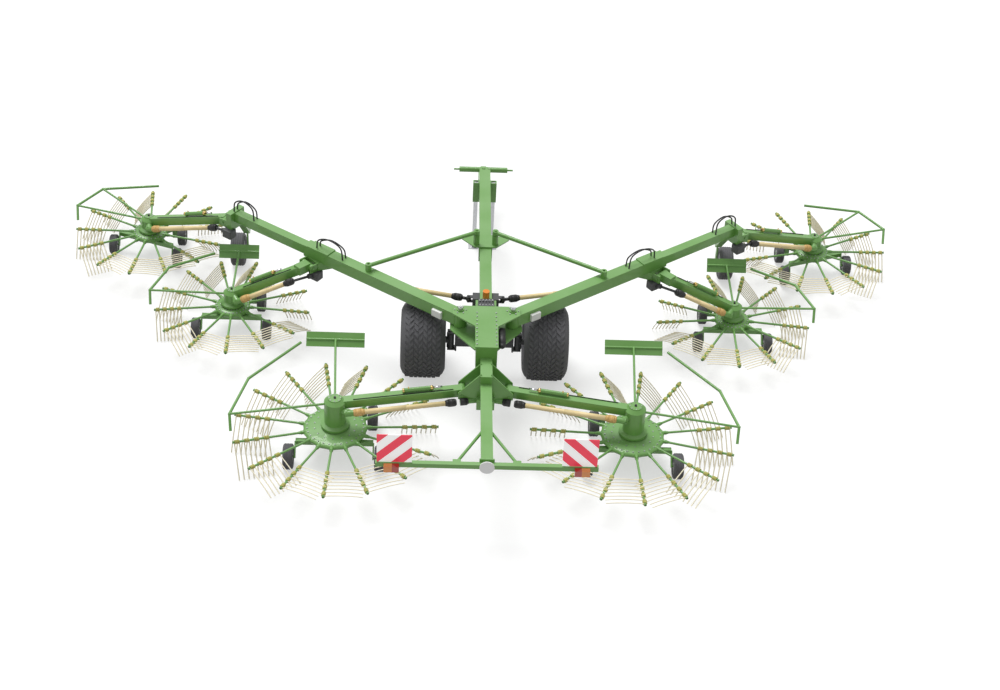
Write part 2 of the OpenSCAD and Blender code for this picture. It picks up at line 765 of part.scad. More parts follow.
// trailing wheels on a cross beam and one wheel ahead on its own arm
module undercarriage(u, bed) {
  w = u[U_WHEEL_W] / 2;
  trail = u[U_WHEEL_R] - 30;
  a = [u[U_IN_X] + w + 27, u[U_IN_Y] + trail, bed];
  b = [u[U_OUT_X] - w - 27, u[U_OUT_Y] + trail, bed];
  beam(a, b, 80, 80);
  beam([0, 0, bed], (a + b) / 2, 120, 78);
  for (q = [[u[U_IN_X], u[U_IN_Y], 1], [u[U_OUT_X], u[U_OUT_Y], -1]]) {
    x = q[0] + q[2] * (w + 24);
    beam([x, q[1] + trail, bed], [x, q[1] - 20, u[U_WHEEL_R] - 15], 24, 76);
    rod([q[0] + q[2] * (w + 34), q[1], u[U_WHEEL_R]], [q[0] - q[2] * w, q[1], u[U_WHEEL_R]], 15);
  }
  beam([0, 0, bed], [u[U_FRONT_X] + w + 95, u[U_FRONT_Y], bed], 80, 70);
  translate([u[U_FRONT_X] + w + 12, u[U_FRONT_Y] - 35, u[U_WHEEL_R] - 30])
    cube([95, 66, bed + 58 - u[U_WHEEL_R]]);
  rod([u[U_FRONT_X] - w, u[U_FRONT_Y], u[U_WHEEL_R]], [u[U_FRONT_X] + w + 50, u[U_FRONT_Y], u[U_WHEEL_R]], 15);
}

// guard bow on its struts, with a leaning board in front on the inner rotors
module guard(i) {
  u = UNITS[i];
  z = is_rear(u) ? guard_rear_z : guard_z;
  points = [for (p = BOWS[i]) p + [0, 0, z]];
  root = [0, 0, turret_top(u) - 90];
  bow(points, guard_r);
  rod(root, points[2], guard_r - 4);
  if (i == 0) {
    rod(root, points[1], guard_r - 4);
  } else {
    b = BOARDS[i];
    long = b[1] - b[0];
    foot = [b[0], b[2], z - 70];
    rail = foot + [0, sin(b[3]), cos(b[3])] * (board_h / 2);
    rod(rail, rail + [long, 0, 0], guard_r - 4);
    rod(root, rail + [long / 2, 0, 0], guard_r - 4);
    translate(foot)
      rotate([-b[3], 0, 0])
        cube([long, board_t, board_h]);
  }
}

// rotor head with its arms and tines
module rotor(i) {
  u = UNITS[i];
  za = arm_z(u);
  d = u[U_DISH];
  inner = u[U_R] - (tine_legs - 1) * u[U_PITCH];
  color("khaki")
    translate(hub(u, za)) {
      rotate_extrude()
        polygon([
          [rotor_stub_r + run_gap, -ring_h], [d - 40, -ring_h], [d, -ring_h + 30], [d, 20],
          [d * 0.75, ring_h - 8], [rotor_stub_r + run_gap, ring_h - 8]
        ]);
      for (k = [0 : u[U_ARMS] - 1])
        let (a = u[U_FIRST] + k * 360 / u[U_ARMS])
          rotate([0, 0, a]) {
            rotate([0, 90, 0]) {
              translate([0, 0, d - 90]) cylinder(r = 32, h = 130);
              translate([0, 0, d - 60]) cylinder(r = tine_arm_r, h = u[U_R] + 95 - d);
            }
            for (j = [0 : tine_legs - 1])
              translate([inner + j * u[U_PITCH], 0, 0])
                rotate([180 - tilt(a), 0, 0])
                  cylinder(r = tine_r, h = u[U_TINE]);
            for (j = [0 : 2 : tine_legs - 2])
              translate([inner + j * u[U_PITCH] + 9, 0, 0])
                rotate([0, 90, 0])
                  cylinder(r = 33, h = u[U_PITCH] - 18);
          }
    }
}

// drive shaft beside and below a rotor's arm
module rotor_shaft(i) {
  u = UNITS[i];
  drive_shaft(arm_from(u) + arm_dir(u) * shaft_room + shaft_drop(u), shaft_end(u) - arm_dir(u) * slide_gap);
}

module gauge_wheel(i, x, y) {
  u = UNITS[i];
  translate(hub(u, u[U_WHEEL_R]) + [x, y, 0])
    small_wheel(u[U_WHEEL_R], u[U_WHEEL_W], 15 + run_gap);
}

machine() main_frame();
machine() axle_beam();
machine() drawbar();
machine() headstock();
machine() jack();
machine() main_drive();
machine() lamp_bar();
machine() warning_boards();
machine() lamps();
machine() fold_carriage();
for (s = SIDES) {
  side(s) knuckle();
  side(s) main_wheel();
  side(s) boom();
  side(s) outer_boom();
  side(s) boom_shaft();
  side(s) stay();
  side(s) boom_wheel();
}
for (i = [0 : len(UNITS) - 1])
  for (s = SIDES) {
    tag = str("_", UNITS[i][U_NAME], "_", s[0]);
    side(s) carrier(i);
    side(s) rotor(i);
    side(s) rotor_shaft(i);
    side(s) gauge_wheel(i, UNITS[i][U_FRONT_X], UNITS[i][U_FRONT_Y]);
    side(s) gauge_wheel(i, UNITS[i][U_IN_X], UNITS[i][U_IN_Y]);
    side(s) gauge_wheel(i, UNITS[i][U_OUT_X], UNITS[i][U_OUT_Y]);
  }
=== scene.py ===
import json
import math

import bmesh
import bpy
import numpy as np
from mathutils import Euler, Matrix, Vector


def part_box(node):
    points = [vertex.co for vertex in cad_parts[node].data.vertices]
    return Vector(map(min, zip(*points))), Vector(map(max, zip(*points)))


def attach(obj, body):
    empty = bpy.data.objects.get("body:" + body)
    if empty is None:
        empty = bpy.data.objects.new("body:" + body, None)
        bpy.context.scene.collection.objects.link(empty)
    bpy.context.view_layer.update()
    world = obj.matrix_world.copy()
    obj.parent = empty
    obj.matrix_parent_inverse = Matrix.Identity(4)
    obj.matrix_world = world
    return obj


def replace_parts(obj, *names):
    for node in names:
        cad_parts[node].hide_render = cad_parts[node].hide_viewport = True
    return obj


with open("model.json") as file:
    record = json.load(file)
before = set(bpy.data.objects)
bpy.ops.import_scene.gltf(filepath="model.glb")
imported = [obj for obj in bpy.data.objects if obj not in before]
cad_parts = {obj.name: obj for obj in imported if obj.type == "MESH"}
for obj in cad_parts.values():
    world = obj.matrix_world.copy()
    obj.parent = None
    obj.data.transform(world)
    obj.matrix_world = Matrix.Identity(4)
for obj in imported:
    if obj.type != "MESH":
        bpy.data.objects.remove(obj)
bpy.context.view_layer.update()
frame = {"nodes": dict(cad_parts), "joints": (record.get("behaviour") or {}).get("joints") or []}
nodes = frame["nodes"]
joint_at = {j["name"]: Vector(j["pos_m"]) for j in frame["joints"] if "pos_m" in j}
scene = bpy.context.scene
SIDES = {"left": -1, "right": 1}
UNITS = ("outer", "mid", "rear")

# The view. The rake is seen from behind and high above, as from a lift some 25 m back,
# with a lens of about 65 mm; the frame leans by three degrees.
axle = joint_at["main_wheel_spin_left"]
camera_data = bpy.data.cameras.new("camera")
camera_data.sensor_width = 36
camera_data.lens = 65
camera_data.clip_end = 300
camera = bpy.data.objects.new("camera", camera_data)
camera_back = 25.43
camera_height = 20.2
camera_side = -0.825
pitch_down = math.radians(37.6)
turn_right = math.radians(2.5)
lean = math.radians(3.1)
camera.matrix_world = (
    Matrix.Translation((camera_side, axle.y - camera_back, camera_height))
    @ Matrix.Rotation(-turn_right, 4, "Z")
    @ Matrix.Rotation(math.pi / 2 - pitch_down, 4, "X")
    @ Matrix.Rotation(lean, 4, "Z")
)
scene.collection.objects.link(camera)
scene.camera = camera
scene.view_settings.view_transform = "Standard"


class Shade:
    """One value in a node tree. Arithmetic on it adds Math nodes, and add() adds any other node."""

    def __init__(self, tree, socket):
        self.tree = tree
        self.socket = socket

    def add(self, kind, values=None, out=0, **settings):
        """New node with its inputs set or linked; a list of values goes to one input."""
        made = self.tree.nodes.new(kind)
        for key, value in settings.items():
            setattr(made, key, value)
        for key, value in (values or {}).items():
            for item in value if isinstance(value, list) else [value]:
                if isinstance(item, Shade):
                    self.tree.links.new(item.socket, made.inputs[key])
                else:
                    made.inputs[key].default_value = item
        return Shade(self.tree, made.outputs[out])

    def math(self, operation, other=0.0):
        return self.add("ShaderNodeMath", {0: self, 1: other}, operation=operation)

    def __add__(self, other):
        return self.math("ADD", other)

    __radd__ = __add__

    def __mul__(self, other):
        return self.math("MULTIPLY", other)

    def step(self, edge):
        return self.math("GREATER_THAN", edge)

    def mix(self, low, high):
        """Colour low where this value is 0, colour high where it is 1."""
        factor, first, second, result = 0, 6, 7, 2
        return self.add("ShaderNodeMix", {factor: self, first: low, second: high}, result,
                        data_type="RGBA")

    def noise(self, scale, detail=3.0, rough=0.5):
        return self.add("ShaderNodeTexNoise", {"Vector": self, "Scale": scale, "Detail": detail,
                                               "Roughness": rough})

    def bump(self, strength, distance):
        return self.add("ShaderNodeBump", {"Strength": strength, "Distance": distance,
                                           "Height": self})

    def part(self, axis):
        return self.add("ShaderNodeSeparateXYZ", {0: self}, axis)


def finish_of(name, roughness, metallic=0.0, coat=0.0):
    """New material, its Object coordinates, and the way to join values to its shader."""
    material = bpy.data.materials.new(name)
    material.use_nodes = True
    tree = material.node_tree
    shader = tree.nodes["Principled BSDF"]
    shader.inputs["Roughness"].default_value = roughness
    shader.inputs["Metallic"].default_value = metallic
    shader.inputs["Coat Weight"].default_value = coat
    coords = tree.nodes.new("ShaderNodeTexCoord")

    def join(socket, value):
        if isinstance(value, Shade):
            tree.links.new(value.socket, shader.inputs[socket])
        else:
            shader.inputs[socket].default_value = value

    return material, Shade(tree, coords.outputs["Object"]), join


def mottled(name, roughness, scale, dark, light, metallic=0.0, detail=3.0):
    """Plain material whose colour wanders between two tones."""
    material, place, join = finish_of(name, roughness, metallic)
    join("Base Color", place.noise(scale, detail).mix((*dark, 1), (*light, 1)))
    return material


# Hydraulic hoses of black rubber stand in loops over the front brackets, two at each bracket.
# They carry oil past the hinge to the ram that lifts the rotor, and both ends sit on the boom.
hose_rubber = mottled("hose_rubber", 0.55, 25.0, (0.010, 0.010, 0.011), (0.028, 0.028, 0.03))
boom_turn = math.radians(35.5)


def on_boom(side, along, beside, z):
    """Point on a boom: along it from its pivot, beside it to the rear, at a height."""
    pivot = joint_at[f"boom_swing_{side}"]
    x = along * math.cos(boom_turn) + beside * math.sin(boom_turn)
    y = along * math.sin(boom_turn) - beside * math.cos(boom_turn)
    return Vector((pivot.x + SIDES[side] * x, pivot.y + y, z))


def hose(name, body, knots, diameter=0.028, steps=10):
    """Hose through a few points, as one smooth line."""
    ends = [2 * knots[0] - knots[1]] + list(knots) + [2 * knots[-1] - knots[-2]]
    line = []
    for p0, p1, p2, p3 in zip(ends, ends[1:], ends[2:], ends[3:]):
        for k in range(steps):
            t = k / steps
            line.append(0.5 * (2 * p1 + (p2 - p0) * t + (2 * p0 - 5 * p1 + 4 * p2 - p3) * t * t
                               + (3 * p1 - p0 - 3 * p2 + p3) * t ** 3))
    line.append(knots[-1])
    curve = bpy.data.curves.new(name, "CURVE")
    curve.dimensions = "3D"
    curve.bevel_depth = diameter / 2
    curve.bevel_resolution = 2
    curve.use_fill_caps = True
    spline = curve.splines.new("POLY")
    spline.points.add(len(line) - 1)
    for point, place_at in zip(spline.points, line):
        point.co = (*place_at, 1)
    curve.materials.append(hose_rubber)
    made = bpy.data.objects.new(name, curve)
    scene.collection.objects.link(made)
    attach(made, body)
    length = sum((q - p).length for p, q in zip(line, line[1:]))


# knots of the loops: along the boom, shift to the rear, height
hose_loops = {
    "mid": ("boom", ((2.55, 0, 1.712), (2.62, -0.02, 1.87), (2.86, 0, 1.95), (3.08, 0.02, 1.87),
                     (3.14, 0, 1.735))),
    "outer": ("outer_boom", ((4.62, 0, 1.688), (4.68, -0.03, 1.84), (4.88, -0.02, 1.93),
                             (5.06, 0, 1.85), (5.10, 0, 1.708))),
}
hose_beside = (-0.05, 0.04)
# the second loop stands higher than the first
second_rise = 0.06
for side in SIDES:
    for k, beside in enumerate(hose_beside):
        for unit, (body, knots) in hose_loops.items():
            points = []
            for i, (along, shift, height) in enumerate(knots):
                between_ends = 0 < i < len(knots) - 1
                rise = second_rise * k if between_ends else 0
                points.append(on_boom(side, along, beside + shift, height + rise))
            hose(f"hose_{unit}_{k}_{side}", f"{body}_{side}", points)

# The floor is a plain white studio floor, with one broad soft lamp high in front and even light
# all round. It shows white to the camera and throws little light back up.
floor_mesh = bpy.data.meshes.new("floor")
floor_half = 140
floor_mesh.from_pydata([(-floor_half, -floor_half, 0), (floor_half, -floor_half, 0),
                        (floor_half, floor_half, 0), (-floor_half, floor_half, 0)],
                       [], [(0, 1, 2, 3)])
floor = bpy.data.objects.new("floor", floor_mesh)
scene.collection.objects.link(floor)
floor_white, place, join = finish_of("floor_white", 0.9)
shown = place.add("ShaderNodeLightPath", out="Is Camera Ray")
for ray in ("Is Glossy Ray", "Is Transmission Ray"):
    shown = shown + place.add("ShaderNodeLightPath", out=ray)
shown = shown.math("MINIMUM", 1.0)
join("Base Color", shown.mix((0.34, 0.34, 0.34, 1), (0.50, 0.50, 0.50, 1)))
join("Specular IOR Level", 0.0)
join("Emission Color", shown.mix((0, 0, 0, 1), (0.53, 0.53, 0.53, 1)))
join("Emission Strength", 1.0)
floor_mesh.materials.append(floor_white)
lamp_data = bpy.data.lights.new("broad_lamp", "SUN")
lamp_data.energy = 2.3
lamp_data.angle = math.radians(30)
lamp = bpy.data.objects.new("broad_lamp", lamp_data)
lamp.rotation_euler = Euler((math.radians(-24), math.radians(-14), 0))
scene.collection.objects.link(lamp)
sky = bpy.data.worlds.new("studio")
sky.use_nodes = True
sky.node_tree.nodes["Background"].inputs["Color"].default_value = (1, 1, 1, 1)
sky.node_tree.nodes["Background"].inputs["Strength"].default_value = 0.56
scene.world = sky

# Frame, drawbar, booms, arms and guards are welded from steel plate and tube, and painted in one
# green gloss enamel. Upward faces turn a paler green and rougher: partly pale dust, partly a
# painted sky sheen on top.
green_paint, place, join = finish_of("green_paint", 0.36, coat=0.25)
cloudy = place.noise(1.3, 4.0)
up = place.add("ShaderNodeNewGeometry", out="Normal").part("Z")
# painted sky sheen with dust: a paler green on upward faces stands in for sky light on the gloss
dust_and_sheen = place.add("ShaderNodeMapRange", {"Value": up * (cloudy + 0.35), "From Min": 0.45,
                                        "From Max": 1.0, "To Min": 0.0, "To Max": 0.55})
worn = cloudy.mix((0.122, 0.31, 0.057, 1), (0.153, 0.355, 0.08, 1))
join("Base Color", dust_and_sheen.mix(worn, (0.24, 0.43, 0.175, 1)))
join("Roughness", 0.30 + place.noise(9.0, 5.0) * 0.16 + dust_and_sheen * 0.14)
join("Normal", place.noise(120.0, 2.0).bump(0.05, 0.002))

painted = ["main_frame", "drawbar", "headstock", "lamp_bar", "fold_carriage"]
for side in SIDES:
    painted += [f"boom_{side}", f"outer_boom_{side}", f"stay_{side}"]
    painted += [f"carrier_{unit}_{side}" for unit in UNITS]


def dress(node, material):
    """Gives a CAD node its finish."""
    mesh = nodes[node].data
    mesh.materials.clear()
    mesh.materials.append(material)


for node in painted:
    dress(node, green_paint)

# Axle beam, steering knuckles and gearboxes are cast and forged pieces in dark grey enamel; the
# jack's legs are galvanized tube.
cast_grey, place, join = finish_of("cast_grey", 0.55)
grain = place.noise(14.0, 6.0, 0.6)
join("Base Color", grain.mix((0.035, 0.037, 0.04, 1), (0.085, 0.087, 0.09, 1)))
join("Roughness", 0.42 + grain * 0.25)
join("Normal", grain.bump(0.15, 0.003))
zinc, place, join = finish_of("zinc", 0.4, metallic=1.0)
spangle = place.add("ShaderNodeTexVoronoi", {"Vector": place, "Scale": 60.0}, "Color")
join("Base Color", place.noise(40.0).mix((0.42, 0.43, 0.45, 1), (0.62, 0.63, 0.64, 1)))
join("Roughness", 0.32 + spangle.part("X") * 0.16)
for node in ("axle_beam", "knuckle_left", "knuckle_right", "main_drive"):
    dress(node, cast_grey)
dress("jack", zinc)

# Main wheels: wide flotation tyres of black rubber with slanting lugs moulded on, on welded steel
# rims that are bolted to the hubs by a ring of nuts.
rubber, place, join = finish_of("rubber", 0.82)
scuff = place.noise(7.0, 6.0, 0.65)
join("Base Color", scuff.mix((0.085, 0.084, 0.092, 1), (0.150, 0.148, 0.160, 1)))
join("Roughness", 0.68 + scuff * 0.25)
join("Normal", place.noise(45.0, 4.0).bump(0.25, 0.004))
rim_grey, place, join = finish_of("rim_grey", 0.45)
rim_dirt = place.noise(6.0, 5.0)
join("Base Color", rim_dirt.mix((0.36, 0.37, 0.38, 1), (0.52, 0.53, 0.54, 1)))
join("Roughness", 0.35 + rim_dirt * 0.25)


def circle(count, radius):
    """Angles and places round a circle."""
    for k in range(count):
        a = 2 * math.pi * k / count
        yield a, radius * math.cos(a), radius * math.sin(a)


def mirrored(flank, half, crown):
    """Profile with the same flank on both sides of its crown: radius, distance from the edge."""
    left = [(r, -half + inset) for r, inset in flank]
    right = [(r, half - inset) for r, inset in reversed(flank)]
    return left + [(crown, 0)] + right


def turned(profile, segments, split=None):
    """Mesh turned about X from a closed profile of radius and width; slot 1 from split on."""
    mesh = bmesh.new()
    rings = []
    for radius, x in profile:
        rings.append([mesh.verts.new((x, y, z)) for _, y, z in circle(segments, radius)])
    count = len(rings)
    for i in range(count):
        here, after = rings[i], rings[(i + 1) % count]
        for k in range(segments):
            m = (k + 1) % segments
            face = mesh.faces.new((here[k], after[k], after[m], here[m]))
            face.smooth = True
            if split is not None and i >= split:
                face.material_index = 1
    bmesh.ops.recalc_face_normals(mesh, faces=mesh.faces)
    return mesh


def stored(mesh, name, *finishes, at=None):
    """Ends the making of a mesh, gives it its finishes and moves it to its place."""
    data = bpy.data.meshes.new(name)
    if at is not None:
        mesh.transform(at if isinstance(at, Matrix) else Matrix.Translation(at))
    mesh.to_mesh(data)
    mesh.free()
    for finish in finishes:
        data.materials.append(finish)
    return data


def joined(name, *meshes):
    """Several meshes as one, each keeping its own finish."""
    holders = []
    for mesh in meshes:
        holder = bpy.data.objects.new(name, mesh)
        scene.collection.objects.link(holder)
        holders.append(holder)
    with bpy.context.temp_override(active_object=holders[0], selected_editable_objects=holders):
        bpy.ops.object.join()
    result = holders[0].data
    result.name = name
    bpy.data.objects.remove(holders[0])
    return result


def piece(name, mesh, body):
    """New piece that rides on a body."""
    made = bpy.data.objects.new(name, mesh)
    scene.collection.objects.link(made)
    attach(made, body)
    return made


def tree_of(name, inputs):
    """New geometry node tree and its inputs as values."""
    tree = bpy.data.node_groups.new(name, "GeometryNodeTree")
    for label, kind in inputs.items():
        tree.interface.new_socket(label, in_out="INPUT", socket_type="NodeSocket" + kind)
    tree.interface.new_socket("Result", in_out="OUTPUT", socket_type="NodeSocketGeometry")
    source = tree.nodes.new("NodeGroupInput")
    return tree, [Shade(tree, source.outputs[label]) for label in inputs]


def set_out(points, part):
    """Sets a part on every point, turned by the point's own attribute."""
    turn = points.add("GeometryNodeInputNamedAttribute", {"Name": "turn"}, "Attribute",
                      data_type="FLOAT_VECTOR")
    rotation = points.add("FunctionNodeEulerToRotation", {0: turn})
    copies = points.add("GeometryNodeInstanceOnPoints",
                        {"Points": points, "Instance": part, "Rotation": rotation})
    return points.add("GeometryNodeRealizeInstances", {"Geometry": copies})


def ended(tree, result):
    """Leads a value to the tree's output."""
    tree.links.new(result.socket, tree.nodes.new("NodeGroupOutput").inputs["Result"])
    return tree


def spread_tree():
    """Node tree that sets one part on every point and gives it its finish."""
    tree, (points, part, finish) = tree_of(
        "spread", {"Points": "Geometry", "Part": "Object", "Finish": "Material"})
    shape = part.add("GeometryNodeObjectInfo", {"Object": part}, "Geometry")
    copies = set_out(points, shape)
    return ended(tree, copies.add("GeometryNodeSetMaterial",
                                  {"Geometry": copies, "Material": finish}))


SPREAD = spread_tree()


def grown(tree, places, values, name):
    """Runs a node tree on points with a place and a turn, and keeps the result as a plain mesh."""
    points = bpy.data.meshes.new(name + "_points")
    points.from_pydata([p for p, _ in places], [], [])
    turns = points.attributes.new("turn", "FLOAT_VECTOR", "POINT")
    for item, (_, turn) in zip(turns.data, places):
        item.vector = turn
    holder = bpy.data.objects.new(name + "_points", points)
    scene.collection.objects.link(holder)
    run = holder.modifiers.new("grow", "NODES")
    run.node_group = tree
    for item in tree.interface.items_tree:
        if item.in_out == "INPUT" and item.name in values:
            run[item.identifier] = values[item.name]
    bpy.context.view_layer.update()
    evaluated = holder.evaluated_get(bpy.context.evaluated_depsgraph_get())
    mesh = bpy.data.meshes.new_from_object(evaluated)
    mesh.name = name
    holder.modifiers.remove(run)
    bpy.data.objects.remove(holder)
    return mesh


def spread(part, places, finish, name):
    """Sets copies of a mesh at the places given and keeps them as one mesh."""
    sample = bpy.data.objects.new(name + "_sample", part)
    scene.collection.objects.link(sample)
    mesh = grown(SPREAD, places, {"Part": sample, "Finish": finish}, name)
    bpy.data.objects.remove(sample)
    return mesh


def nut(radius, height):
    """Six-sided nut with a stub of its stud, standing along Z."""
    mesh = bmesh.new()
    bmesh.ops.create_cone(mesh, cap_ends=True, segments=6, radius1=radius, radius2=radius * 0.94,
                          depth=height, matrix=Matrix.Translation((0, 0, height / 2)))
    bmesh.ops.create_cone(mesh, cap_ends=True, segments=8, radius1=radius * 0.5,
                          radius2=radius * 0.45, depth=height * 0.6,
                          matrix=Matrix.Translation((0, 0, height * 1.2)))
    return mesh


tread_pitches = 38
tread_rows = 8
bare_shoulders = 0.16
# a block of the tread: its height, half its length and its slant along the tyre, half its width in
# parts of the row, how far its foot lies under the tread, how far its top lies under the tyre's
# outline in the rows at the edge and in the others
lug_height = 0.018
lug_half = 0.034
lug_slant = 0.034
lug_width = 0.46
lug_foot = 0.03
edge_drop, crown_drop = 0.018, 0.002
bead = 0.345
wheel_nuts = 10
nut_circle = 0.2
disc_face = 0.133
for side, s in SIDES.items():
    node = f"main_wheel_{side}"
    low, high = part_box(node)
    middle = (low + high) / 2
    radius = (high.z - low.z) / 2
    half = (high.x - low.x) / 2
    tread = radius - lug_height
    flank = [(bead - 0.01, 0.085), (bead + 0.02, 0.045), (bead + 0.075, 0.01), (bead + 0.17, 0),
             (tread - 0.12, 0.014), (tread - 0.06, 0.045), (tread - 0.022, 0.09),
             (tread - 0.004, 0.16)]
    rows = [stored(turned(mirrored(flank, half, tread), 72), f"carcass_{side}", rubber)]
    # one block of the tread, slanting; the rows lean to and fro in turn
    row_w = (2 * half - bare_shoulders) / tread_rows
    for row in range(tread_rows):
        across = (row + 0.5 - tread_rows / 2) * row_w
        drop = edge_drop if row in (0, tread_rows - 1) else crown_drop
        lean_back = lug_slant * (1 if row % 2 else -1)
        block = bmesh.new()
        corners = []
        for r, grow in ((tread - lug_foot, 1.08), (radius - drop, 0.86)):
            for dx, dy in ((-1, -1), (1, -1), (1, 1), (-1, 1)):
                turn_by = (dy * lug_half * grow + dx * lean_back) / radius
                corners.append(block.verts.new((across + dx * row_w * lug_width * grow,
                                                r * math.sin(turn_by), r * math.cos(turn_by))))
        for face in ((4, 5, 6, 7), (0, 1, 5, 4), (1, 2, 6, 5), (2, 3, 7, 6), (3, 0, 4, 7)):
            block.faces.new([corners[k] for k in face])
        bmesh.ops.recalc_face_normals(block, faces=block.faces)
        pitch = 2 * math.pi / tread_pitches
        shift = 0.5 * (row % 2)
        rows.append(spread(stored(block, "tread_block"),
                           [((0, 0, 0), ((k + shift) * pitch, 0, 0)) for k in range(tread_pitches)],
                           rubber, f"tread_{row}_{side}"))
    tyre = joined(f"main_tyre_{side}", *rows)
    tyre.transform(Matrix.Translation(middle))
    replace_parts(piece(f"main_tyre_{side}", tyre, node), node)
    well = [(bead - 0.025, 0.065), (bead + 0.012, 0.05), (bead + 0.005, 0.09)]
    disc = [(bead - 0.035, 0.17), (bead - 0.1, 0.15), (0.16, 0.125), (0.15, 0.19), (0.07, 0.2),
            (0.061, 0.18), (0.061, 0.0), (0.14, 0.0), (0.15, 0.1), (bead - 0.11, 0.125),
            (bead - 0.045, 0.13)]
    profile = [(r, s * x) for r, x in mirrored(well, half, bead - 0.012) + disc]
    ring = [((s * disc_face, y, z), (0, math.pi / 2 * s, 0))
            for _, y, z in circle(wheel_nuts, nut_circle)]
    rim = joined(f"main_rim_{side}", stored(turned(profile, 48), f"rim_{side}", rim_grey),
                 spread(stored(nut(0.019, 0.02), "wheel_nut"), ring, zinc, f"wheel_nuts_{side}"))
    rim.transform(Matrix.Translation(middle))
    piece(f"main_rim_{side}", rim, node)

# Gauge wheels under the rotors and the booms' support wheels: ribbed rubber tyres on pressed rims,
# each on a plain pin.
wheel_nodes = [f"wheel_{where}_{unit}_{side}" for unit in UNITS for side in SIDES
               for where in ("front", "inner", "outer")]
wheel_nodes += [f"boom_wheel_{side}" for side in SIDES]
# profiles in parts of the tyre's radius and half width
tyre_flank = ((0.60, 0.80), (0.72, 0.97), (0.86, 1.0), (0.955, 0.86))
pressed_rim = ((0.58, 0.72), (0.53, 0.66), (0.5, 0.2), (0.34, 0.16), (0.3, 0.86), (0.12, 0.88),
               (0.12, -0.88), (0.3, -0.86), (0.34, -0.1), (0.5, -0.14), (0.53, -0.66),
               (0.58, -0.72))
tyre_ribs = 5
rib_pitch, rib_foot, rib_top = 0.31, 0.10, 0.07
groove = 0.006
for node in wheel_nodes:
    low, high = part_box(node)
    middle = (low + high) / 2
    r = (high.z - low.z) / 2
    h = (high.x - low.x) / 2
    profile = [(a * r, -b * h) for a, b in tyre_flank]
    for k in range(tyre_ribs):
        x = (k - (tyre_ribs - 1) / 2) * rib_pitch * h
        profile += [(r - groove, x - rib_foot * h), (r, x - rib_top * h), (r, x + rib_top * h),
                    (r - groove, x + rib_foot * h)]
    profile += [(a * r, b * h) for a, b in reversed(tyre_flank)]
    split = len(profile) - 1
    profile += [(a * r, b * h) for a, b in pressed_rim]
    wheel = stored(turned(profile, 36, split), node + "_tyre", rubber, rim_grey, at=middle)
    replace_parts(piece(node + "_tyre", wheel, node), node)

# Rotors: a pressed steel head with a scalloped rim carries tine arms of round tube. Every arm ends
# in four double tines, each wound from one spring wire with a coil round the arm and two long legs.
tine_cream, place, join = finish_of("tine_cream", 0.42)
patch = place.noise(5.0, 4.0)
join("Base Color", patch.mix((0.96, 0.87, 0.62, 1), (0.99, 0.94, 0.76, 1)))
join("Roughness", 0.34 + patch * 0.2)
coil_yellow = mottled("coil_yellow", 0.45, 12.0, (0.46, 0.46, 0.10), (0.60, 0.58, 0.20))


def tine_tree():
    """Node tree for double tines: a coil along X with a leg at each end, set on every point."""
    tree, (arms, wire_r, coil_r, pitch, leg_l, leg_look, coil_look) = tree_of("double_tine", {
        "Arms": "Geometry", "Wire radius": "Float", "Coil radius": "Float", "Pitch": "Float",
        "Leg": "Float", "Leg finish": "Material", "Coil finish": "Material"})
    add = arms.add
    wire = add("GeometryNodeCurvePrimitiveCircle", {"Resolution": 4, "Radius": wire_r})

    def drawn(line):
        return add("GeometryNodeCurveToMesh",
                   {"Curve": line, "Profile Curve": wire, "Fill Caps": True})

    def finished(shape, look):
        return add("GeometryNodeSetMaterial", {"Geometry": shape, "Material": look})

    # coil round the arm
    spiral = add("GeometryNodeCurveSpiral",
                 {"Resolution": 8, "Rotations": 4, "Start Radius": coil_r, "End Radius": coil_r,
                  "Height": pitch})
    along = add("GeometryNodeTransform",
                {"Geometry": spiral, "Rotation": Euler((0, math.pi / 2, 0))})
    coil = finished(drawn(along), coil_look)
    # two legs with a slight knee, one at each end of the coil
    tip = add("ShaderNodeCombineXYZ", {"Z": leg_l * -1.0})
    knee = add("ShaderNodeCombineXYZ", {"Y": -0.035, "Z": leg_l * -0.55})
    leg = drawn(add("GeometryNodeCurveQuadraticBezier",
                    {"Resolution": 6, "Start": (0, 0, 0), "Middle": knee, "End": tip}))
    shift = add("ShaderNodeCombineXYZ", {"X": pitch})
    second = add("GeometryNodeTransform", {"Geometry": leg, "Translation": shift})
    legs = finished(add("GeometryNodeJoinGeometry", {0: [leg, second]}), leg_look)
    return ended(tree, set_out(arms, add("GeometryNodeJoinGeometry", {0: [legs, coil]})))


DOUBLE_TINE = tine_tree()
# sizes of a rotor as its solids have them: arms, first arm in degrees, radius of the last leg,
# pitch of the legs, length of a leg, radius of the head
ROTOR_SIZES = {"outer": (13, -82, 1.38, 0.064, 0.58, 0.33),
               "mid": (13, -91, 1.38, 0.064, 0.58, 0.33),
               "rear": (15, -87, 1.70, 0.082, 0.64, 0.55)}
legs_on_arm = 8
wire_radius = 0.0105
coil_radius = 0.030
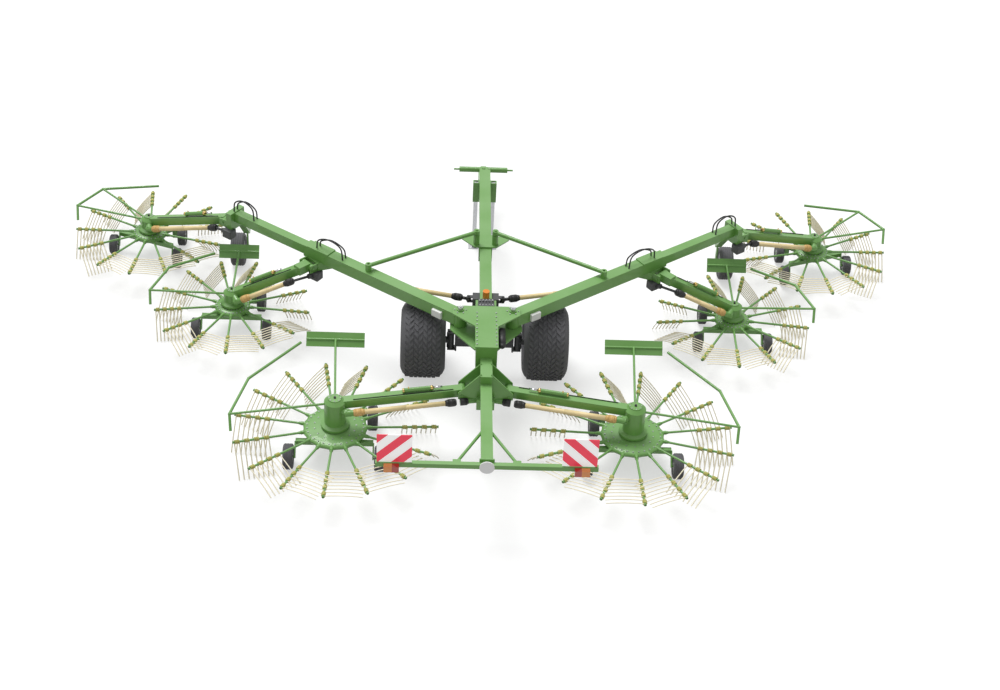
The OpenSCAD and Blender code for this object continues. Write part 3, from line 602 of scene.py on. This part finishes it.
# the cam holds the tines at one tilt at work and lifts them round the rear
tilt_work, tilt_lift = 40, 92
lift_half, lift_ramp = 72, 36
tip_gap = 0.02
arm_heights = {}
arm_past_legs = 0.033
head_bore = 0.05
scallop = 0.035
for unit, (arms, first, leg_r, leg_pitch, leg_l, head_r) in ROTOR_SIZES.items():
    arm_heights[unit] = tip_gap + leg_l * math.cos(math.radians(tilt_work))
    inner = leg_r - (legs_on_arm - 1) * leg_pitch
    tine_places = []
    arm_places = []
    for k in range(arms):
        degrees = first + k * 360 / arms
        from_rear = (degrees + 90 + 180) % 360 - 180
        lifted = max(0.0, min(1.0, (lift_half - abs(from_rear)) / lift_ramp))
        tilt = math.radians(tilt_work + (tilt_lift - tilt_work) * lifted)
        a = math.radians(degrees)
        arm_places.append(((0, 0, 0), (0, 0, a)))
        turn = (Matrix.Rotation(a, 3, "Z") @ Matrix.Rotation(-tilt, 3, "X")).to_euler()
        for j in range(0, legs_on_arm, 2):
            r = inner + j * leg_pitch
            tine_places.append(((r * math.cos(a), r * math.sin(a), 0), tuple(turn)))
    tines = grown(DOUBLE_TINE, tine_places, {
        "Wire radius": wire_radius, "Coil radius": coil_radius, "Pitch": leg_pitch, "Leg": leg_l,
        "Leg finish": tine_cream, "Coil finish": coil_yellow}, f"tines_{unit}")
    # one arm: bearing housing at the head with its collar, tube, end cap
    arm = bmesh.new()
    arm_end = leg_r + arm_past_legs
    for r0, r1, thick, sides in ((head_r - 0.10, head_r + 0.04, 0.033, 14),
                                 (head_r + 0.04, head_r + 0.07, 0.026, 14),
                                 (head_r - 0.05, arm_end, 0.02, 12),
                                 (arm_end - 0.012, arm_end, 0.024, 12)):
        bmesh.ops.create_cone(arm, cap_ends=True, segments=sides, radius1=thick, radius2=thick,
                              depth=r1 - r0, matrix=Matrix.Translation(((r0 + r1) / 2, 0, 0))
                              @ Matrix.Rotation(math.pi / 2, 4, "Y"))
    for face in arm.faces:
        face.smooth = len(face.verts) == 4
    arms_mesh = spread(stored(arm, f"arm_{unit}"), arm_places, green_paint, f"arms_{unit}")
    # pressed head with a scalloped rim: part of its radius, height, share of the scallops
    head = bmesh.new()
    spokes = arms * 8
    rings = []
    bore = head_bore / head_r
    for part_r, z, wave in ((bore, 0.052, 0), (0.35, 0.058, 0), (0.42, 0.050, 0), (0.72, 0.046, 0),
                            (0.9, 0.028, 0.3), (0.985, 0.012, 1), (1.0, -0.012, 1),
                            (0.95, -0.05, 0.6), (0.9, -0.06, 0), (bore, -0.06, 0)):
        ring = []
        for k in range(spokes):
            from_first = 2 * math.pi * k / spokes
            a = math.radians(first) + from_first
            dip = wave * scallop * (math.cos(arms * from_first) - 1) / 2
            r = head_r * part_r * (1 + dip)
            ring.append(head.verts.new((r * math.cos(a), r * math.sin(a), z)))
        rings.append(ring)
    for i in range(len(rings)):
        here, after = rings[i], rings[(i + 1) % len(rings)]
        for k in range(spokes):
            m = (k + 1) % spokes
            head.faces.new((here[k], here[m], after[m], after[k])).smooth = True
    bmesh.ops.recalc_face_normals(head, faces=head.faces)
    bolt_ring = []
    for k in range(arms):
        for turn_by, part_r, z in ((-0.25, 0.86, 0.031), (0.25, 0.86, 0.031), (0.0, 0.64, 0.044)):
            a = math.radians(first) + 2 * math.pi * (k + turn_by) / arms
            r = part_r * head_r
            bolt_ring.append(((r * math.cos(a), r * math.sin(a), z), (0, 0, a)))
    bolts = spread(stored(nut(0.013, 0.012), "head_bolt"), bolt_ring, zinc, f"head_bolts_{unit}")
    whole = joined(f"rotor_{unit}_whole", tines, arms_mesh,
                   stored(head, f"head_{unit}", green_paint), bolts)
    for side, s in SIDES.items():
        node = f"rotor_{unit}_{side}"
        hub = joint_at[f"rotor_spin_{unit}_{side}"]
        mesh = whole.copy()
        if s < 0:
            mesh.transform(Matrix.Diagonal((-1, 1, 1, 1)))
            mesh.flip_normals()
        mesh.transform(Matrix.Translation((hub.x, hub.y, arm_heights[unit])))
        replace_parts(piece(node + "_tined", mesh, node), node)

# Drive shafts: a telescoping shaft runs in a cream plastic tube with a black bell over each joint,
# and the bell at the rotor is the tan cover of a slip clutch.
guard_cream = mottled("guard_cream", 0.5, 4.0, (0.80, 0.62, 0.30), (0.88, 0.73, 0.42), detail=4.0)
bell_black = mottled("bell_black", 0.5, 8.0, (0.012, 0.012, 0.013), (0.035, 0.035, 0.036))
clutch_tan = mottled("clutch_tan", 0.45, 8.0, (0.60, 0.36, 0.11), (0.72, 0.48, 0.18))


def axis_of(node, near):
    """Ends of a long round node, the one nearer to a point first: the middles of its end rings."""
    co = np.array([v.co for v in nodes[node].data.vertices])
    direction = np.linalg.svd(co - co.mean(0), full_matrices=False)[2][0]
    reach = co @ direction
    rings = [co[np.abs(reach - edge) < 0.003] for edge in (reach.min(), reach.max())]
    ends = [Vector((ring.min(0) + ring.max(0)) / 2) for ring in rings]
    return sorted(ends, key=lambda end: (end - near).length)


def bar(mesh, a, b, r0, r1, sides=20, slot=0):
    """Adds a round bar or cone from one point to another."""
    run = b - a
    turn = run.to_track_quat("Z", "Y").to_matrix().to_4x4()
    made = bmesh.ops.create_cone(mesh, cap_ends=True, segments=sides, radius1=r0, radius2=r1,
                                 depth=run.length, matrix=Matrix.Translation((a + b) / 2) @ turn)
    for vert in made["verts"]:
        for face in vert.link_faces:
            face.material_index = slot
            face.smooth = len(face.verts) == 4


tube_r, sleeve_r, bell_r, rib_r = 0.042, 0.045, 0.066, 0.0668
# bell over a joint: from and to along the shaft, radius at both; then its three ribs
bell_steps = [(0.0, 0.03, 0.05, bell_r), (0.03, 0.13, bell_r, bell_r), (0.13, 0.19, bell_r, 0.047)]
bell_steps += [(0.045 + 0.03 * k, 0.057 + 0.03 * k, rib_r, rib_r) for k in range(3)]
bell_cover = 0.1
# upright eye at the inner end of a boom's shaft, with its stem
eye_half, eye_r = 0.035, 0.044
stem_from, stem_to, stem_r = 0.03, 0.14, 0.029
eye_to_bell = 0.115
sleeve_lap = 0.02
black, tan = 1, 2
shaft_nodes = {f"boom_shaft_{side}": f"boom_shaft_{side}" for side in SIDES}
for unit in UNITS:
    shaft_nodes.update({f"shaft_{unit}_{side}": f"carrier_{unit}_{side}" for side in SIDES})
for node, body in shaft_nodes.items():
    mesh = bmesh.new()
    if node == body:
        # the inner end carries an upright eye on the gearbox's pin
        pin = joint_at[node.replace("boom_shaft", "shaft_turn")]
        b = axis_of(node, pin)[1]
        run = (b - pin).normalized()
        upright = Vector((0, 0, eye_half))
        bar(mesh, pin - upright, pin + upright, eye_r, eye_r, slot=black)
        bar(mesh, pin + run * stem_from, pin + run * stem_to, stem_r, stem_r, slot=black)
        a = pin + run * eye_to_bell
        far_look = black
    else:
        a, b = axis_of(node, joint_at[node.replace("shaft", "lift")])
        far_look = tan
    run = (b - a).normalized()
    bar(mesh, a + run * bell_cover, b - run * bell_cover, tube_r, tube_r)
    bar(mesh, (a + b) / 2 - run * sleeve_lap, b - run * bell_cover, sleeve_r, sleeve_r)
    for end, way, look in ((a, run, black), (b, -run, far_look)):
        for start, stop, r0, r1 in bell_steps:
            bar(mesh, end + way * start, end + way * stop, r0, r1, slot=look)
    guarded = stored(mesh, node + "_guarded", guard_cream, bell_black, clutch_tan)
    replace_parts(piece(node + "_guarded", guarded, body), node)

# Rear gearbox outputs: a black plastic bell covers each joint beside the rear beam's root, and
# stays with the frame when the arm is lifted.
rear_bell_steps = ((0.20, 0.17, 0.05, bell_r), (0.17, 0.07, bell_r, bell_r),
                   (0.07, 0.062, bell_r, 0.06))
for side in SIDES:
    a, b = axis_of(f"shaft_rear_{side}", joint_at[f"lift_rear_{side}"])
    run = (b - a).normalized()
    mesh = bmesh.new()
    for start, stop, r0, r1 in rear_bell_steps:
        bar(mesh, a - run * start, a - run * stop, r0, r1)
    piece(f"rear_bell_{side}", stored(mesh, f"rear_bell_{side}", bell_black), "chassis")

# Front gearboxes: a dark cast gearbox hangs under every front bracket, and its steel output reaches
# into the bell of the rotor's drive shaft.


def slab(x0, x1, y0, y1, z0, z1, bevel):
    """Block with softened edges."""
    mesh = bmesh.new()
    bmesh.ops.create_cube(mesh, size=1)
    mesh.transform(Matrix.Translation(((x0 + x1) / 2, (y0 + y1) / 2, (z0 + z1) / 2))
                   @ Matrix.Diagonal((x1 - x0, y1 - y0, z1 - z0, 1)))
    bmesh.ops.bevel(mesh, geom=mesh.edges[:], offset=bevel, segments=2, affect="EDGES", profile=0.6)
    return mesh


# along the boom, beside it, height
front_gearboxes = {"mid": (3.05, 0.19, 1.27), "outer": (5.11, 0.19, 1.30)}
case_half, case_side = 0.1, 0.085
snout_from, snout_to = 0.06, 0.16
output_from, output_reach, output_r = 0.15, 0.03, 0.023
for unit, (along, beside, height) in front_gearboxes.items():
    for side, s in SIDES.items():
        name = f"gearbox_{unit}_{side}"
        near, far = axis_of(f"shaft_{unit}_{side}", joint_at[f"lift_{unit}_{side}"])
        middle = on_boom(side, along, beside, height)
        run = (near - middle).normalized()
        mesh = bmesh.new()
        bar(mesh, middle + run * snout_from, middle + run * snout_to, 0.055, 0.045)
        tip = near + (far - near).normalized() * output_reach
        bar(mesh, middle + run * output_from, tip, output_r, output_r)
        output = stored(mesh, f"output_{unit}_{side}", cast_grey)
        case = slab(-case_half, case_half, -case_side, case_side, -case_side, case_side, 0.018)
        case = stored(case, f"case_{unit}_{side}", cast_grey,
                      at=Matrix.Translation(middle) @ Matrix.Rotation(s * boom_turn, 4, "Z"))
        piece(name, joined(name, case, output),
              f"boom_{side}" if unit == "mid" else f"outer_boom_{side}")

# Lift rams: a chromed rod runs out of a painted barrel on top of every arm, with a brass gland
# between them and an oil port at the back; a thin black pipe runs along the arm beside it.
chrome = mottled("chrome", 0.12, 20.0, (0.62, 0.63, 0.65), (0.74, 0.75, 0.77), metallic=1.0)
brass = mottled("brass", 0.3, 16.0, (0.62, 0.45, 0.16), (0.74, 0.56, 0.24), metallic=1.0)
turret_above_arms = {"outer": 0.36, "mid": 0.36, "rear": 0.63}
arm_under_top = 0.1
arm_half = 0.075
ram_above_arm = 0.05
# a middle arm starts at a short neck, square to its pin
pin_way = boom_turn + math.radians(12)
neck = 0.16
rod_r, gland_r, pipe_r = 0.0185, 0.038, 0.007
chrome_slot, brass_slot, black_slot = 0, 1, 2
# rod, gland and the barrel's end: from and to along the arm, radius at both, finish
ram_steps = ((0.33, 0.49, rod_r, rod_r, chrome_slot),
             (0.485, 0.53, gland_r, gland_r, brass_slot),
             (0.97, 1.003, gland_r, 0.036, brass_slot))
port_along, port_height = 0.9, 0.06
pipe_above_arm, pipe_aside, pipe_from, pipe_stop = 0.008, 0.05, 0.15, 0.3
for unit in UNITS:
    for side, s in SIDES.items():
        hinge = joint_at[f"lift_{unit}_{side}"].copy()
        if unit == "mid":
            hinge += Vector((s * math.sin(pin_way), -math.cos(pin_way), 0)) * neck
        hub = joint_at[f"rotor_spin_{unit}_{side}"]
        top_z = arm_heights[unit] + turret_above_arms[unit]
        end = Vector((hub.x, hub.y, top_z - arm_under_top))
        run = (end - hinge).normalized()
        flat = Vector((run.x, run.y, 0)).normalized()
        up_way = Vector((-run.z * flat.x, -run.z * flat.y, math.hypot(run.x, run.y)))
        line = hinge + up_way * (arm_half + ram_above_arm)
        mesh = bmesh.new()
        for start, stop, r0, r1, look in ram_steps:
            bar(mesh, line + run * start, line + run * stop, r0, r1, slot=look)
        port = line + run * port_along
        bar(mesh, port, port + up_way * port_height, 0.014, 0.012, sides=10, slot=brass_slot)
        aside = Vector((-run.y, run.x, 0)).normalized()
        pipe = hinge + up_way * (arm_half + pipe_above_arm) + aside * pipe_aside
        bar(mesh, pipe + run * pipe_from, pipe + (end - hinge) - run * pipe_stop, pipe_r, pipe_r,
            sides=8, slot=black_slot)
        ram = stored(mesh, f"ram_{unit}_{side}", chrome, brass, bell_black)
        piece(f"ram_{unit}_{side}", ram, f"carrier_{unit}_{side}")

# Gearbox covers: a round steel lid, painted like the arm, closes the top of every rotor's gearbox
# with a ring of zinc bolts and a black filler cap in the middle.
lid_radius = {"outer": 0.088, "mid": 0.088, "rear": 0.118}
lid_bolts = 8
bolt_inset = 0.022
lid_thick, lid_bolt_seat = 0.014, 0.013
cap_from, cap_to = 0.012, 0.04
upward = Vector((0, 0, 1))
for unit in UNITS:
    lid_r = lid_radius[unit]
    for side in SIDES:
        hub = joint_at[f"rotor_spin_{unit}_{side}"]
        top = Vector((hub.x, hub.y, arm_heights[unit] + turret_above_arms[unit]))
        lid = bmesh.new()
        bar(lid, top, top + upward * lid_thick, lid_r, lid_r - 0.008, sides=28)
        bar(lid, top + upward * cap_from, top + upward * cap_to, 0.022, 0.018, sides=12, slot=1)
        ring = [((top.x + x, top.y + y, top.z + lid_bolt_seat), (0, 0, a))
                for a, x, y in circle(lid_bolts, lid_r - bolt_inset)]
        bolts = spread(stored(nut(0.011, 0.01), "lid_bolt"), ring, zinc, f"lid_bolts_{unit}_{side}")
        name = f"lid_{unit}_{side}_bolted"
        lid_mesh = stored(lid, f"lid_{unit}_{side}", green_paint, bell_black)
        piece(name, joined(name, lid_mesh, bolts), f"carrier_{unit}_{side}")

# Warning boards: flat sheet with slanting red and white film, mirrored left and right, so that the
# stripes fall towards the outside. The film also glows by a weak emission, a painted glow that
# keeps the boards bright though they face away from the lamp.
board_film, place, join = finish_of("board_film", 0.35)
stripe = 0.4
across = place.part("X").math("ABSOLUTE")
slant = ((across + place.part("Z")) * (1 / stripe)).math("FRACT")
film_red = place.noise(9.0).mix((0.78, 0.04, 0.08, 1), (0.86, 0.06, 0.10, 1))
film = slant.step(0.5).mix(film_red, (0.98, 0.97, 0.96, 1))
join("Base Color", film)
# painted glow: the stripes shine by their own emission, as if lit
join("Emission Color", film)
join("Emission Strength", 0.28)
dress("warning_boards", board_film)

# Lamps: combined tail lamps under the boards with a red and an amber lens, a plain white disc in
# the middle of the bar and an amber beacon on the drawbar's root. Each colour holds in its own
# stretch of the machine.
lens, place, join = finish_of("lens", 0.15, coat=0.6)
across = place.part("X").math("ABSOLUTE")
lens_low, lens_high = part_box("lamps")
amber_width = 0.13
disc_reach = 0.5
lens_red = place.noise(30.0).mix((0.42, 0.03, 0.02, 1), (0.52, 0.06, 0.03, 1))
lens_amber = place.noise(30.0).mix((0.75, 0.22, 0.02, 1), (0.85, 0.30, 0.04, 1))
tail = across.step(lens_high.x - amber_width).mix(lens_red, lens_amber)
middle_disc = across.step(disc_reach).mix((0.86, 0.86, 0.85, 1), tail)
in_front = place.part("Y").step((lens_low.y + lens_high.y) / 2)
join("Base Color", in_front.mix(middle_disc, lens_amber))
dress("lamps", lens)

# Marker lamps: a white plastic box on the rear face of each boom near its pivot, moulded with round
# edges and screwed flat to the steel.
box_white = mottled("box_white", 0.4, 10.0, (0.80, 0.80, 0.79), (0.88, 0.88, 0.87))
marker_along, marker_beside, marker_z = 0.40, 0.132, 1.58
for side, s in SIDES.items():
    at = on_boom(side, marker_along, marker_beside, marker_z)
    marker = stored(slab(-0.1, 0.1, -0.03, 0.03, -0.07, 0.07, 0.012), f"marker_{side}", box_white,
                    at=Matrix.Translation(at) @ Matrix.Rotation(s * boom_turn, 4, "Z"))
    piece(f"marker_{side}", marker, f"boom_{side}")

# Pivot pins and yoke: large zinc nuts hold the boom pins, each in a ring of bolts, and rows of
# bolts run along the yoke's upper plate.
yoke_top = 1.765
bolt_seat = yoke_top - 0.001
nut_seat = yoke_top + 0.035
pin_bolts, pin_circle = 6, 0.098
plate_bolts, plate_pitch = 9, 0.11
row_x, row_back = 0.165, 0.95
bolt_places = []
pin_nuts = []
for side, s in SIDES.items():
    pivot = joint_at[f"boom_swing_{side}"]
    pin_nuts.append(((pivot.x, pivot.y, nut_seat), (0, 0, 0.3)))
    for a, x, y in circle(pin_bolts, pin_circle):
        bolt_places.append(((pivot.x + x, pivot.y + y, bolt_seat), (0, 0, a)))
    for k in range(plate_bolts):
        y = pivot.y - row_back + plate_pitch * k
        bolt_places.append(((s * row_x, y, bolt_seat), (0, 0, 0)))
yoke_bolts = spread(stored(nut(0.014, 0.014), "yoke_bolt"), bolt_places, zinc, "yoke_bolts_small")
yoke_nuts = spread(stored(nut(0.045, 0.03), "pin_nut"), pin_nuts, zinc, "yoke_nuts_large")
piece("yoke_bolts", joined("yoke_bolts", yoke_bolts, yoke_nuts), "chassis")

# Oil store and valves: a dark accumulator lies beside the spine on two brackets, and a cast valve
# block with short ports sits on the drawbar's root behind the beacon.
spine_x, store_x, store_z = 0.18, 0.265, 1.62
store_y = axle.y - 1.35
store_l = 0.42
store_r = 0.062
dome = 0.05
mesh = bmesh.new()
for y0, y1, r0, r1 in ((0, store_l, store_r, store_r), (-dome, 0, 0.03, store_r),
                       (store_l, store_l + dome, store_r, 0.03)):
    bar(mesh, Vector((store_x, store_y + y0, store_z)), Vector((store_x, store_y + y1, store_z)),
        r0, r1)
for bracket in (0.09, 0.33):
    bar(mesh, Vector((spine_x, store_y + bracket, store_z)),
        Vector((store_x, store_y + bracket, store_z)), 0.02, 0.02, sides=10)
piece("oil_store", stored(mesh, "oil_store", bell_black), "chassis")
valve_half, valve_foot, valve_top = 0.14, 1.529, 1.65
valve = stored(slab(-valve_half, valve_half, axle.y - 0.36, axle.y - 0.06, valve_foot, valve_top,
                    0.012), "valve", cast_grey)
port_first, port_pitch, port_z = -0.11, 0.055, 1.648
ports = [((port_first + port_pitch * k, axle.y - back, port_z), (0, 0, 0))
         for k in range(5) for back in (0.14, 0.28)]
valve_ports = spread(stored(nut(0.018, 0.03), "valve_port"), ports, zinc, "valve_ports")
piece("valve_block", joined("valve_block", valve, valve_ports), "chassis")
